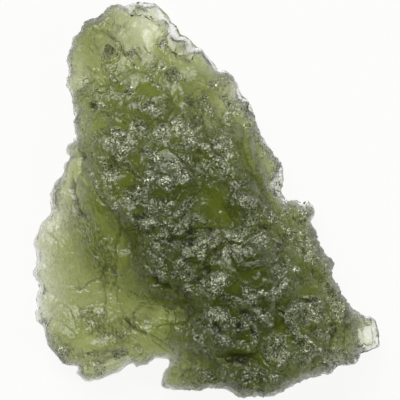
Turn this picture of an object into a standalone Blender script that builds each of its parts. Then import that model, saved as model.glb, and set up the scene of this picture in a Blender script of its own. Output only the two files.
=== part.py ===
"""A raw moldavite: one natural piece of green glass, lying on the flat spot of its back.

The stone is a height field on both faces: a lattice of points inside its outline is given
a top and a back, which share the jagged rim. Lengths are millimetres until they enter the
mesh. X runs across the stone, Y along it, Z up from the resting spot.
"""
import bmesh
import bpy
import numpy as np
from mathutils import Vector, geometry, noise

MM = 0.001

# Driving dimensions
WIDTH = 27.9
LENGTH = 31.8
FLANGE_THICKNESS = 3.7
RESTING_SPOT = (-0.8, -3.0)
RESTING_RADIUS = (3.4, 2.8)
BACK_RISE = 0.0050
BACK_CLEARANCE = 0.06
TOP_EDGE = 0.32
UNDER_EDGE = 0.45
SHOULDER_CURVE = 1.7

# How finely the stone is faceted
RIM_STEP = 0.42
RIM_RINGS = (0.16, 0.55)
FINE_STEP = 0.46
COARSE_STEP = 0.72
BACK_STEP = 0.88
LATTICE_JITTER = 0.22
LEDGE_SPACING = 0.45
LEDGE_SIDES = (-0.14, 0.14)
SPOT_POINTS = 14
SEED = 7

# The outline, clockwise from the top, as stretches that share one kind of edge:
# name, share of the thickness that the very edge keeps, width of its shoulder, how high the
# rim sits between the back (0) and the top (1), points
OUTLINE = [
    ("top lobe", 0.30, 2.0, 0.22, [
        (-5.1, 15.9), (-4.2, 15.7), (-3.6, 15.4), (-3.2, 15.0), (-2.7, 14.4), (-2.2, 13.7)]),
    ("upper right", 0.40, 1.7, 0.26, [
        (-2.1, 13.4), (-1.7, 13.2), (-1.0, 12.6), (-0.3, 12.0), (0.2, 11.4), (0.8, 10.8),
        (1.2, 10.5), (1.9, 10.2), (2.3, 9.7), (2.8, 8.7), (3.2, 8.2), (3.6, 7.7), (4.0, 6.5)]),
    ("right flank", 0.42, 1.9, 0.26, [
        (4.3, 5.6), (4.5, 5.4), (4.5, 5.0), (4.9, 4.6), (5.4, 3.6), (5.8, 3.2), (6.2, 2.8),
        (6.3, 1.6), (6.1, 0.8), (6.4, 0.2)]),
    ("right knob", 0.30, 1.3, 0.20, [
        (6.9, -0.1), (7.5, -0.1), (8.2, -0.1), (8.5, -0.4), (8.8, -0.9), (8.6, -1.5),
        (8.5, -1.9)]),
    ("lower right flank", 0.46, 1.8, 0.28, [
        (8.8, -2.4), (8.9, -3.1), (9.3, -3.8), (9.7, -4.5), (10.2, -4.9), (10.2, -5.5),
        (10.0, -6.0), (10.4, -6.7), (10.7, -7.4), (11.2, -8.1), (11.9, -8.8)]),
    ("clear tab", 0.70, 0.9, 0.45, [
        (12.5, -9.2), (13.2, -9.4), (13.6, -9.7), (13.8, -10.2), (14.0, -11.4), (13.8, -11.9),
        (12.8, -12.4)]),
    ("lower right corner", 0.56, 1.6, 0.36, [
        (12.4, -12.4), (12.4, -12.9), (12.0, -13.2), (11.4, -13.4), (10.8, -13.4),
        (10.4, -13.6), (10.1, -14.0), (9.1, -14.2), (8.1, -14.5)]),
    ("lower edge", 0.66, 1.7, 0.40, [
        (6.9, -15.0), (5.8, -15.6), (5.2, -15.9), (4.0, -15.8), (2.7, -15.8), (1.9, -15.5),
        (1.1, -15.2), (-0.5, -15.3), (-1.4, -15.3)]),
    ("lower tip", 0.40, 1.6, 0.24, [
        (-2.3, -15.4), (-3.3, -15.2), (-3.6, -14.8), (-3.5, -14.2), (-3.1, -13.6),
        (-2.9, -13.1)]),
    ("notch", 0.40, 1.6, 0.28, [
        (-3.2, -12.9), (-3.7, -12.9), (-4.1, -12.8), (-4.7, -13.3), (-5.2, -13.3)]),
    ("lower left rim", 0.36, 1.7, 0.24, [
        (-5.6, -13.5), (-6.0, -13.2), (-6.5, -13.5), (-7.0, -13.9), (-7.9, -14.2),
        (-8.8, -14.5), (-9.4, -14.6), (-10.0, -14.4), (-10.4, -13.9), (-10.4, -13.5),
        (-11.4, -13.2), (-12.0, -12.6), (-12.5, -12.0), (-12.8, -11.5), (-13.1, -10.4)]),
    ("left flange", 0.08, 4.6, 0.10, [
        (-13.2, -10.1), (-13.6, -9.8), (-13.7, -9.3), (-13.6, -8.7), (-13.7, -8.0),
        (-13.5, -7.2), (-13.6, -6.6), (-13.9, -6.0), (-13.7, -5.4), (-13.6, -4.8),
        (-13.7, -4.2), (-13.9, -3.6), (-13.7, -3.0), (-13.4, -2.4), (-13.2, -1.9),
        (-12.8, -1.5), (-12.5, -0.9), (-12.5, 0.3), (-12.3, 1.0), (-12.0, 1.5)]),
    ("left nub", 0.20, 2.2, 0.16, [
        (-11.6, 1.8), (-11.4, 2.3), (-11.3, 2.8), (-10.9, 3.3), (-11.2, 3.7), (-11.2, 4.1),
        (-10.9, 4.5)]),
    ("upper left", 0.28, 2.0, 0.22, [
        (-10.6, 5.0), (-10.5, 5.6), (-10.6, 6.4), (-10.7, 7.8), (-11.0, 8.7), (-11.2, 9.3),
        (-11.0, 10.5), (-11.2, 11.2), (-11.0, 11.7), (-10.8, 12.5), (-10.6, 13.2),
        (-10.3, 13.2)]),
    ("upper left shoulder", 0.46, 1.6, 0.30, [
        (-10.0, 13.6), (-9.7, 14.0), (-9.2, 14.3), (-8.7, 14.5), (-8.4, 14.8), (-7.9, 15.3),
        (-7.4, 15.6), (-6.4, 15.6), (-5.9, 15.8)]),
]

# The thick body's crest, from the top down:
# x, y, thickness, reach to the west foot, reach to the east foot
CREST = [
    (-6.4, 12.0, 2.9, 3.6, 5.6),
    (-4.8, 7.4, 5.9, 5.8, 7.2),
    (-3.0, 3.2, 7.3, 8.4, 8.4),
    (-1.5, -0.8, 8.1, 9.8, 9.4),
    (0.4, -4.8, 8.3, 9.6, 9.6),
    (2.4, -8.2, 8.6, 8.2, 9.8),
    (3.2, -12.0, 8.5, 6.6, 9.6),
    (3.2, -15.4, 8.0, 5.8, 8.6),
]
WEST_PLATEAU = 0.34
EAST_PLATEAU = 0.14

# Broad lumps and hollows of the top: x, y, radius, height
LUMPS = [
    (-3.2, 12.2, 1.5, 0.4),
    (-4.6, 14.6, 2.0, -0.9),
    (-9.2, 13.2, 1.5, 0.8),
    (-10.0, 9.6, 1.5, -0.5),
    (-8.6, 8.2, 1.6, 0.8),
    (-5.6, 9.4, 1.6, 1.0),
    (0.4, 6.8, 1.6, -1.2),
    (2.2, 8.2, 1.4, -0.6),
    (-1.8, 5.4, 1.3, 0.5),
    (2.6, 3.6, 1.6, 0.7),
    (-7.0, 3.6, 1.7, 0.6),
    (-5.4, 1.2, 1.3, -0.7),
    (-2.8, 0.4, 1.5, 0.6),
    (3.2, 0.6, 1.4, 0.7),
    (5.9, 0.9, 1.6, -1.1),
    (6.8, -2.2, 1.5, -1.0),
    (-9.8, 0.4, 1.5, 0.5),
    (-2.6, -2.6, 1.4, 0.6),
    (-2.6, -4.6, 1.5, 0.7),
    (-6.2, -3.6, 1.5, -0.8),
    (-7.0, -7.2, 2.2, -1.1),
    (1.8, -3.4, 1.4, -0.6),
    (3.6, -6.2, 1.7, 0.8),
    (4.8, -3.6, 1.3, 0.6),
    (8.2, -5.6, 1.4, 0.7),
    (-10.8, -8.2, 2.0, -0.4),
    (-8.4, -9.6, 2.2, 0.3),
    (-4.8, -9.0, 1.8, -1.5),
    (-1.6, -8.8, 1.6, -1.3),
    (1.0, -7.2, 1.2, 0.5),
    (5.8, -7.2, 1.4, 0.6),
    (8.8, -9.2, 1.3, 0.7),
    (6.2, -11.0, 1.4, -0.6),
    (1.6, -10.4, 1.4, 0.5),
    (9.6, -12.0, 1.2, 0.5),
    (-1.2, -12.6, 1.3, -0.8),
    (5.4, -13.6, 1.2, 0.5),
    (11.2, -9.4, 0.8, 1.1),
    (13.3, -10.8, 1.4, -2.5),
    (-8.6, -13.2, 1.2, -0.4),
]

# Smooth chips and windows, where the glass broke or melted clean:
# x, y, half length, half width, direction of the length in degrees, depth
WINDOWS = [
    (0.5, -0.6, 2.3, 1.3, -48, 0.75),
    (-9.0, 0.2, 2.7, 1.1, -66, 0.15),
    (-2.4, 7.2, 1.3, 0.7, -70, 0.35),
    (-5.3, 3.6, 0.9, 0.6, 50, 0.30),
    (0.8, 7.6, 1.1, 0.8, -60, 0.35),
    (4.7, 3.0, 2.1, 0.8, -68, 0.40),
    (3.1, -6.1, 1.5, 1.0, 35, 0.55),
    (7.6, -6.7, 1.3, 0.8, -15, 0.45),
    (6.0, -10.1, 1.6, 0.45, -58, 0.65),
    (8.3, -10.9, 1.5, 0.40, -50, 0.60),
    (-8.3, -10.9, 1.7, 0.8, 12, 0.40),
    (-4.5, -9.3, 1.6, 1.1, 20, 0.35),
    (-4.6, 13.1, 1.4, 1.0, -50, 0.40),
    (-1.6, 12.9, 0.9, 0.5, -40, 0.35),
]

# Etched cups: x, y, radius, depth
CUPS = [
    (-7.1, 4.8, 1.0, 0.45),
    (-7.2, 2.6, 1.1, 0.50),
    (-5.4, 5.8, 0.8, 0.35),
    (-2.7, 9.9, 0.7, 0.35),
    (-0.9, 7.9, 0.7, 0.35),
    (-0.8, 6.2, 0.8, 0.40),
    (-6.1, 0.6, 0.9, 0.50),
    (-4.0, 2.9, 0.8, 0.35),
    (-3.7, -0.3, 0.9, 0.45),
    (-4.9, -1.3, 0.8, 0.40),
    (-1.5, -1.2, 0.9, 0.50),
    (-0.7, 2.6, 0.9, 0.40),
    (2.6, 1.2, 0.7, 0.35),
    (3.4, -1.2, 1.0, 0.45),
    (4.1, -3.2, 0.9, 0.50),
    (-2.2, -3.0, 0.9, 0.45),
    (0.7, -4.1, 0.8, 0.45),
    (-0.6, -6.3, 0.9, 0.50),
    (6.2, -3.7, 0.8, 0.40),
    (1.2, -8.6, 1.0, 0.55),
    (6.0, -5.6, 0.8, 0.40),
    (4.3, -8.4, 0.9, 0.45),
    (-0.5, -10.4, 0.9, 0.45),
    (5.3, -11.9, 1.2, 0.60),
    (2.4, -11.0, 0.8, 0.45),
    (7.9, -8.6, 1.0, 0.40),
    (3.6, -14.0, 0.9, 0.45),
    (8.6, -13.0, 0.9, 0.45),
    (10.4, -11.0, 0.9, 0.50),
    (0.4, -13.7, 0.9, 0.40),
    (-9.3, 7.6, 0.5, 0.45),
    (-10.0, 3.5, 0.5, 0.95),
    (7.7, -1.1, 0.7, 0.40),
    (-11.6, -11.8, 0.6, 0.35),
    (-6.8, -12.3, 0.7, 0.35),
]

# Ledges: how far the ground drops, how far the drop carries, points.
# The drop is on the right hand of someone who walks along the points.
LEDGES = [
    ("west escarpment", 0.75, 2.2, [
        (-10.1, 3.9), (-9.1, 2.2), (-8.3, 0.8), (-7.7, -0.1), (-7.1, -1.0), (-6.3, -2.8),
        (-5.3, -4.5), (-4.5, -6.1)]),
    ("flange crack", 0.45, 1.0, [
        (-10.9, 2.4), (-10.8, 1.5), (-10.6, 0.6), (-10.2, -0.6), (-9.8, -1.4)]),
    ("window foot", 0.45, 1.3, [
        (-1.0, -2.6), (0.6, -2.5), (2.0, -2.9), (3.5, -3.9)]),
    ("lower face", 0.80, 2.4, [
        (-5.2, -5.9), (-3.9, -6.4), (-2.4, -6.6), (-1.3, -7.4), (-1.0, -8.8), (-2.1, -10.4)]),
    ("bottom ledge", 1.10, 1.4, [
        (1.9, -14.7), (2.9, -15.0), (4.4, -15.1), (5.9, -14.8), (7.2, -14.1)]),
    ("tab step", 1.20, 1.8, [
        (11.9, -12.3), (12.2, -11.2), (12.1, -9.9), (11.6, -8.9)]),
    ("band over the left rim", 0.50, 1.2, [
        (-12.4, -9.9), (-11.6, -11.0), (-10.2, -11.7), (-8.6, -12.1), (-7.0, -12.2),
        (-5.2, -12.3)]),
    ("upper facet", 0.50, 1.5, [
        (0.0, 10.9), (-1.4, 11.5), (-2.6, 12.6), (-3.4, 14.2)]),
]

# Grooves and ribs: height (grooves are below 0), half width, points
RIBS = [
    ("dark slot", -0.80, 0.42, [(1.4, -12.3), (2.8, -12.6), (4.4, -13.2)]),
    ("slot rib, west", 0.50, 0.28, [(4.5, -8.9), (5.3, -10.2), (6.2, -11.4)]),
    ("slot rib, middle", 0.55, 0.32, [(6.4, -8.7), (7.2, -9.9), (8.3, -11.5)]),
    ("slot rib, east", 0.45, 0.30, [(7.9, -8.6), (8.9, -10.0), (9.9, -11.4)]),
    ("cut by the lower face", -0.50, 0.26, [(-6.3, -9.6), (-5.6, -10.3), (-4.9, -10.8)]),
    ("cut, first", -0.40, 0.22, [(-4.5, -10.8), (-3.6, -11.4), (-2.8, -11.9)]),
    ("cut, second", -0.35, 0.20, [(-4.4, -11.5), (-3.8, -12.0), (-3.2, -12.3)]),
    ("short crack", -0.35, 0.22, [(-5.3, -3.2), (-4.9, -4.6), (-4.3, -5.9)]),
    ("flange line", -0.25, 0.22, [(-7.1, -7.1), (-6.9, -8.4), (-6.6, -9.4)]),
    ("flow rib, first", 0.30, 0.34, [(-7.6, 12.4), (-5.4, 10.6), (-3.3, 8.3)]),
    ("flow rib, second", 0.26, 0.32, [(-9.4, 12.0), (-7.6, 10.0), (-6.6, 8.6)]),
    ("flow groove", -0.28, 0.34, [(-6.6, 12.8), (-4.6, 11.3), (-2.6, 9.0)]),
    ("east rib", 0.40, 0.40, [(0.8, 3.4), (2.6, 2.0), (4.2, 0.2), (5.6, -1.8)]),
    ("body rib", 0.35, 0.42, [(-3.0, -3.8), (-1.0, -4.2), (1.2, -5.4), (2.4, -4.8)]),
    ("south rib", 0.35, 0.40, [(1.0, -9.4), (3.0, -8.0), (5.2, -8.0)]),
]

# Cups of the back, strewn at random: how many, radius from and to, depth from and to
BACK_CUPS = 60
BACK_CUP_RADIUS = (0.8, 1.9)
BACK_CUP_DEPTH = (0.25, 0.65)

# Rolling relief of the top, strong where the glass is etched: wavelength, height
TOP_RELIEF = [(2.6, 0.26), (1.3, 0.17)]
BACK_RELIEF = [(3.6, 0.26), (1.7, 0.12)]
RIM_WAVES = (1.6, 0.15)


def smoothstep(low, high, value):
    """0 below LOW, 1 above HIGH, and smooth between."""
    t = np.clip((value - low) / (high - low), 0, 1)
    return t * t * (3 - 2 * t)


def closed_curve(points, step):
    """Points about STEP apart on a smooth closed curve through POINTS."""
    here = np.array(points, float)
    before = np.roll(here, 1, 0)
    after = np.roll(here, -1, 0)
    beyond = np.roll(here, -2, 0)
    t = np.linspace(0, 1, 9)[:-1, None, None]
    square = t ** 2 * (2 * before - 5 * here + 4 * after - beyond)
    cube = t ** 3 * (3 * here - before - 3 * after + beyond)
    curve = here + 0.5 * (t * (after - before) + square + cube)
    curve = curve.transpose(1, 0, 2).reshape(-1, 2)
    curve = np.vstack([curve, curve[:1]])
    length = np.append(0, np.cumsum(np.hypot(*np.diff(curve, axis=0).T)))
    count = round(length[-1] / step)
    at = np.arange(count) * length[-1] / count
    return np.column_stack([np.interp(at, length, curve[:, axis]) for axis in (0, 1)])


def beside_path(points, path):
    """For each point: distance to the path, 1 on its left hand or -1 on its right, and how
    far along the path's points its foot lies, as a number of segments."""
    path = np.array(path, float)
    step = np.diff(path, axis=0)
    offset = points[:, None] - path[:-1]
    along = np.clip((offset * step).sum(-1) / (step ** 2).sum(-1), 0, 1)
    gap = offset - along[..., None] * step
    distance = np.hypot(gap[..., 0], gap[..., 1])
    nearest = distance.argmin(1)
    row = np.arange(len(points))
    cross = step[nearest, 0] * offset[row, nearest, 1] - step[nearest, 1] * offset[row, nearest, 0]
    return distance[row, nearest], np.where(cross > 0, 1, -1), nearest + along[row, nearest]


def inside(points, ring):
    """Which points lie inside the closed ring."""
    x, y = points[:, :1], points[:, 1:]
    x0, y0 = ring.T
    x1, y1 = np.roll(ring, -1, 0).T
    rise = np.where(y1 == y0, 1, y1 - y0)
    crosses = ((y0 > y) != (y1 > y)) & (x < (x1 - x0) * (y - y0) / rise + x0)
    return crosses.sum(1) % 2 == 1


def rolling(points, wavelength, layer):
    """Smooth noise from about -1 to 1; each LAYER is a pattern of its own."""
    scale = 1.6 / wavelength
    return np.array([noise.noise(Vector((x * scale, y * scale, layer))) for x, y in points])


def oval(points, x, y, half_length, half_width, degrees):
    """Distance from an oval's centre: 1 on its edge."""
    turn = np.radians(degrees)
    dx, dy = points[:, 0] - x, points[:, 1] - y
    along = (dx * np.cos(turn) + dy * np.sin(turn)) / half_length
    across = (dy * np.cos(turn) - dx * np.sin(turn)) / half_width
    return np.hypot(along, across)


def rim():
    """The rim's points, and for each its stretch's edge share, shoulder width and rim level."""
    corners = [point for *_, points in OUTLINE for point in points]
    kinds = [kind for _, *kind, points in OUTLINE for _ in points]
    ring = closed_curve(corners, RIM_STEP)
    corners = np.array(corners)
    corners = np.vstack([corners, corners[:1]])
    kinds = np.array(kinds + kinds[:1])
    at = beside_path(ring, corners)[2]
    stops = np.arange(len(corners))
    return ring, np.column_stack([np.interp(at, stops, kinds[:, k]) for k in range(3)])


def etched(points):
    """How etched the top is: 0 in the clean windows and on the flange, 1 on the rough body."""
    west_foot = LEDGES[0][3] + [(-2.6, -10.4), (-2.4, -15.0)]
    distance, side, _ = beside_path(points, [(-10.9, 7.5)] + west_foot)
    rough = smoothstep(-1.2, 1.0, distance * side)
    rough *= 1 - 0.6 * smoothstep(7.5, 10.5, points[:, 1])
    for x, y, half_length, half_width, degrees, _ in WINDOWS:
        rough *= smoothstep(0.75, 1.15, oval(points, x, y, half_length, half_width, degrees))
    return rough


def thickness(points):
    """Thickness of the stone away from its rim."""
    crest = np.array(CREST)
    distance, side, at = beside_path(points, crest[:, :2])
    stops = np.arange(len(crest))
    high, west, east = (np.interp(at, stops, crest[:, k]) for k in (2, 3, 4))
    to_west = side < 0
    reach = distance / np.where(to_west, west, east)
    plateau = np.where(to_west, WEST_PLATEAU, EAST_PLATEAU)
    body = 1 - smoothstep(plateau, 1.12, reach)
    result = FLANGE_THICKNESS + (high - FLANGE_THICKNESS) * body
    for x, y, radius, height in LUMPS:
        result += height * np.exp(-((points[:, 0] - x) ** 2 + (points[:, 1] - y) ** 2) / radius ** 2)
    return result


def sculpture(points):
    """The smaller forms of the top: ledges, ribs, cups, windows and rolling relief."""
    height = np.zeros(len(points))
    for _, drop, carry, path in LEDGES:
        distance, side, at = beside_path(points, path)
        ends = smoothstep(0, 0.8, at) * smoothstep(0, 0.8, len(path) - 1 - at)
        below = smoothstep(-0.10, 0.14, -side * distance) * np.exp(-(distance / carry) ** 2)
        height -= drop * ends * below
    for _, rise, half_width, path in RIBS:
        distance, _, at = beside_path(points, path)
        ends = smoothstep(0, 0.5, at) * smoothstep(0, 0.5, len(path) - 1 - at)
        height += rise * (0.3 + 0.7 * ends) * np.exp(-(distance / half_width) ** 2)
    for x, y, radius, depth in CUPS:
        height -= depth * (1 - smoothstep(0.2, 1.15, oval(points, x, y, radius, radius, 0)))
    for x, y, half_length, half_width, degrees, depth in WINDOWS:
        height -= depth * (1 - smoothstep(0.3, 1.1, oval(points, x, y, half_length, half_width, degrees)))
    strength = 0.25 + 0.75 * etched(points)
    for layer, (wavelength, amount) in enumerate(TOP_RELIEF):
        height += amount * strength * rolling(points, wavelength, 3.7 + layer)
    return height


def back(points):
    """Height of the back over the floor: a low belly with strewn cups round the resting spot."""
    x, y = RESTING_SPOT
    spot = oval(points, x, y, *RESTING_RADIUS, 0)
    away = np.hypot(points[:, 0] - x, points[:, 1] - y)
    height = BACK_RISE * np.maximum(away - min(RESTING_RADIUS), 0) ** 2
    for layer, (wavelength, amount) in enumerate(BACK_RELIEF):
        height += amount * (0.5 + rolling(points, wavelength, 11.3 + layer))
    strength = 0.35 + 0.65 * etched(points)
    dice = np.random.default_rng(SEED)
    for _ in range(BACK_CUPS):
        x = dice.uniform(-WIDTH / 2, WIDTH / 2)
        y = dice.uniform(-LENGTH / 2, LENGTH / 2)
        radius = dice.uniform(*BACK_CUP_RADIUS)
        depth = dice.uniform(*BACK_CUP_DEPTH)
        height += depth * strength * (1 - smoothstep(0.2, 1.1, oval(points, x, y, radius, radius, 0)))
    return (BACK_CLEARANCE + np.maximum(height, 0)) * smoothstep(1.0, 1.5, spot)


def rounded(distance, width):
    """A quarter of an oval: 0 at the rim, 1 from WIDTH inward."""
    return np.sqrt(1 - np.clip(1 - distance / width, 0, 1) ** 2)


def surfaces(points, ring, kinds):
    """Heights of the top, the back and the rim's level at each point, rim points included."""
    closed = np.vstack([ring, ring[:1]])
    distance = beside_path(points, closed)[0]
    pull = 1 / (((points[:, None] - ring) ** 2).sum(-1) + 0.05) ** 2
    edge, width, share = (pull @ kinds / pull.sum(1)[:, None]).T
    slope = 1 - np.clip(1 - distance / width, 0, 1) ** SHOULDER_CURVE
    profile = edge * rounded(distance, TOP_EDGE) + (1 - edge) * slope
    full = thickness(points)
    floor = back(points)
    length, amount = RIM_WAVES
    level = floor + share * full
    level += amount * rolling(points, length, 23.1)
    calm = smoothstep(0.0, 1.1, distance)
    top = floor + full + sculpture(points) * calm
    top = level + (top - level) * profile
    bottom = level + (floor - level) * rounded(distance, UNDER_EDGE)
    return top, bottom, level


def lattice(step, ring, dice):
    """A jittered triangular lattice of points over the stone."""
    rows = np.arange(-LENGTH / 2 - 1, LENGTH / 2 + 1, step * np.sqrt(3) / 2)
    columns = np.arange(-WIDTH / 2 - 1, WIDTH / 2 + 1, step)
    points = np.array([(x + step / 2 * (k % 2), y) for k, y in enumerate(rows) for x in columns])
    points += dice.uniform(-LATTICE_JITTER, LATTICE_JITTER, points.shape) * step
    return points[inside(points, ring)]


def rings_inside(ring, offsets):
    """The rim's points moved inward by each offset, where that keeps clear of other parts."""
    closed = np.vstack([ring, ring[:1]])
    ahead = np.roll(ring, -1, 0) - np.roll(ring, 1, 0)
    inward = np.column_stack([ahead[:, 1], -ahead[:, 0]])
    inward /= np.hypot(*inward.T)[:, None]
    kept = []
    for offset in offsets:
        moved = ring + inward * offset
        moved = moved[inside(moved, ring)]
        kept.append(moved[beside_path(moved, closed)[0] > 0.8 * offset])
    return np.vstack(kept)


def clear_of(points, others, gap):
    """The points that keep at least GAP from every other point."""
    if not len(others):
        return points
    distance = np.hypot(points[:, None, 0] - others[:, 0], points[:, None, 1] - others[:, 1])
    return points[distance.min(1) > gap]


def triangles(ring, inner):
    """Triangulates the ring's inside through the inner points."""
    points = [Vector(point) for point in np.vstack([ring, inner])]
    edges = [(k, (k + 1) % len(ring)) for k in range(len(ring))]
    found = geometry.delaunay_2d_cdt(points, edges, [list(range(len(ring)))], 1, 1e-6)
    return found[2]


def path_points(path, step, sideways):
    """Points on both sides of a ledge's line, so that its step is crisp."""
    path = np.array(path)
    found = []
    for start, end in zip(path[:-1], path[1:]):
        run = end - start
        length = np.hypot(*run)
        normal = np.array([-run[1], run[0]]) / length
        for t in np.arange(0.5, max(round(length / step), 1)) / max(round(length / step), 1):
            found += [start + t * run + normal * shift for shift in sideways]
    return np.array(found)


def top_points(ring, dice):
    """Inner points of the top: fine where it is etched, coarse where it is clean."""
    rings = rings_inside(ring, RIM_RINGS)
    lines = np.vstack([path_points(path, LEDGE_SPACING, LEDGE_SIDES) for _, _, _, path in LEDGES])
    lines = lines[inside(lines, ring)]
    lines = clear_of(lines, np.vstack([ring, rings]), 0.20)
    fixed = np.vstack([rings, lines])
    fine = lattice(FINE_STEP, ring, dice)
    fine = fine[etched(fine) > 0.35]
    fine = clear_of(fine, np.vstack([ring, fixed]), 0.55 * FINE_STEP)
    fixed = np.vstack([fixed, fine])
    coarse = lattice(COARSE_STEP, ring, dice)
    coarse = clear_of(coarse, np.vstack([ring, fixed]), 0.7 * COARSE_STEP)
    return np.vstack([fixed, coarse])


def back_points(ring, dice):
    """Inner points of the back, with the resting spot's edge among them."""
    x, y = RESTING_SPOT
    turns = np.arange(SPOT_POINTS) / SPOT_POINTS * 2 * np.pi
    spot = np.column_stack([x + RESTING_RADIUS[0] * np.cos(turns), y + RESTING_RADIUS[1] * np.sin(turns)])
    rings = rings_inside(ring, RIM_RINGS[:1])
    field = lattice(BACK_STEP, ring, dice)
    field = field[oval(field, x, y, *RESTING_RADIUS, 0) > 1]
    field = clear_of(field, np.vstack([ring, rings, spot]), 0.6 * BACK_STEP)
    return np.vstack([rings, spot, field])


def stone_mesh():
    """The closed solid: both faces over their own lattices, sewn together at the rim."""
    dice = np.random.default_rng(SEED)
    ring, kinds = rim()
    centre = (ring.max(0) + ring.min(0)) / 2
    mesh = bmesh.new()
    level = surfaces(ring, ring, kinds)[2]
    edge = [mesh.verts.new((*((x, y) - centre) * MM, z * MM)) for (x, y), z in zip(ring, level)]
    for inner, side, flip in ((top_points(ring, dice), 0, False), (back_points(ring, dice), 1, True)):
        height = surfaces(inner, ring, kinds)[side]
        verts = [mesh.verts.new((*((x, y) - centre) * MM, z * MM)) for (x, y), z in zip(inner, height)]
        verts = edge + verts
        for corners in triangles(ring, inner):
            turned = reversed(corners) if flip else corners
            mesh.faces.new([verts[k] for k in turned])
    bmesh.ops.recalc_face_normals(mesh, faces=mesh.faces)
    data = bpy.data.meshes.new("moldavite")
    mesh.to_mesh(data)
    mesh.free()
    return data


def green_glass():
    """Bottle-green natural glass."""
    material = bpy.data.materials.new("moldavite_glass")
    material.use_nodes = True
    shader = material.node_tree.nodes["Principled BSDF"]
    shader.inputs["Base Color"].default_value = (0.22, 0.27, 0.08, 1)
    shader.inputs["Roughness"].default_value = 0.3
    shader.inputs["Metallic"].default_value = 0.0
    shader.inputs["IOR"].default_value = 1.49
    shader.inputs["Transmission Weight"].default_value = 1.0
    return material


def main():
    for item in list(bpy.data.objects):
        bpy.data.objects.remove(item)
    collection = bpy.data.collections.new("moldavite")
    bpy.context.scene.collection.children.link(collection)
    stone = bpy.data.objects.new("moldavite", stone_mesh())
    stone.data.materials.append(green_glass())
    stone.data.shade_smooth()
    stone.data.set_sharp_from_angle(angle=np.radians(40))
    collection.objects.link(stone)


main()
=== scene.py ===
"""The looks of a raw moldavite: its etched skin, its green depth, a light table and soft lamps.

A fine mesh is laid over the frame's solid, smoothed, and carved with the pits, flow lines
and cracks that are too small for the solid. Lengths are millimetres, unless a comment says
otherwise, and x and y are measured from the stone's middle.
"""

import bmesh
import bpy
import numpy as np
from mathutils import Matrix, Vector, geometry, noise
from mathutils.bvhtree import BVHTree


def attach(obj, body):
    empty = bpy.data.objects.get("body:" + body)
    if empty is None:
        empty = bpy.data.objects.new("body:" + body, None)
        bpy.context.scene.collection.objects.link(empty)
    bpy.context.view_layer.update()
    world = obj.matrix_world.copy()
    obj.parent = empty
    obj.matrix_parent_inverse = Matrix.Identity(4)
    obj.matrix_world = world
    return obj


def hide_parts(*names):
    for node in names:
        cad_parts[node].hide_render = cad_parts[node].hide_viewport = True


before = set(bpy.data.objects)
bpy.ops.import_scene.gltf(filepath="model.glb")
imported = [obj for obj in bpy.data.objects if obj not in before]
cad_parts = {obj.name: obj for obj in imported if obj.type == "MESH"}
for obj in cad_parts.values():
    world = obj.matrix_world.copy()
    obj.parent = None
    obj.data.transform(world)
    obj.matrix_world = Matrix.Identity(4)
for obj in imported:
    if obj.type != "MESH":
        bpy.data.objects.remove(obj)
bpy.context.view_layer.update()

MM = 0.001
STONE = "moldavite"
SEED = 11

# The skin's mesh: how far apart its points are along the rim, on the top and on the back, and
# how far they stray from their lattice, as a share of its step
RIM_STEP = 0.14
TOP_STEP = 0.092
BACK_STEP = 0.20
JITTER = 0.2

# Rings of points beside the rim: how far in they lie, the share of that which a point has to
# keep, and how far the lattice stays from the last ring
RIM_RINGS = (0.05, 0.13)
RING_KEPT = 0.8
RING_GAP = 0.07

# Reading the solid: how close its points are welded, into how many parts each of its rim's
# edges is divided, below which distance a point counts as on the rim, where rays start, and
# how many points are tested at a time
WELD = 0.001
CURVE_PARTS = 6
ON_THE_RIM = 0.02
RAY_START = 30.0
SLICE = 4000

# Smoothing: rounds on the top and on the back, and how far each one goes
TOP_ROUNDS = 10
BACK_ROUNDS = 3
SMOOTHING = 0.6

# The rim: where the stone is full thickness, how steeply it gets there, its raggedness, as
# wavelengths and depths, and the share of the fine relief that reaches it
RIM_WIDTH = 0.55
RIM_CURVE = 1.6
RAGGED = [(1.0, 0.12), (0.45, 0.07)]
RIM_RELIEF = 0.3

# The photograph's frame: its width and middle, the level at which they are measured, the
# camera's height over that, its sensor and how far it sees
FRAME_WIDTH = 32.0
FRAME_CENTRE = (-0.52, -0.04)
FRAME_LEVEL = 3.0
CAMERA_HEIGHT = 450.0
SENSOR = 36.0
FARTHEST_METRES = 10

# Noise: how many of its cells make a wavelength, and the pattern that each form takes. Where a
# form comes in several sizes, each size takes a pattern a few numbers further on
NOISE_CELLS = 1.6
PATTERN = {
    "ragged rim": 50.0,
    "warp": 41.0,
    "window edge": 71.0,
    "etch": 5.5,
    "rim shadow": 61.0,
    "folds": 81.0,
    "terraces": 17.0,
    "creases": 13.0,
    "pits": 3.0,
    "back pits": 31.0,
    "sand": 1.5,
    "streaks": 2.5,
}

# The forms from here on are listed, and noise moves them all: distances and wavelengths.
# A FADE gives how far out a form starts to fade and is gone, as parts of its half width or
# radius. A SLOPE gives the same of its height.
WARPS = [(0.22, 1.5), (0.10, 0.5)]

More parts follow.
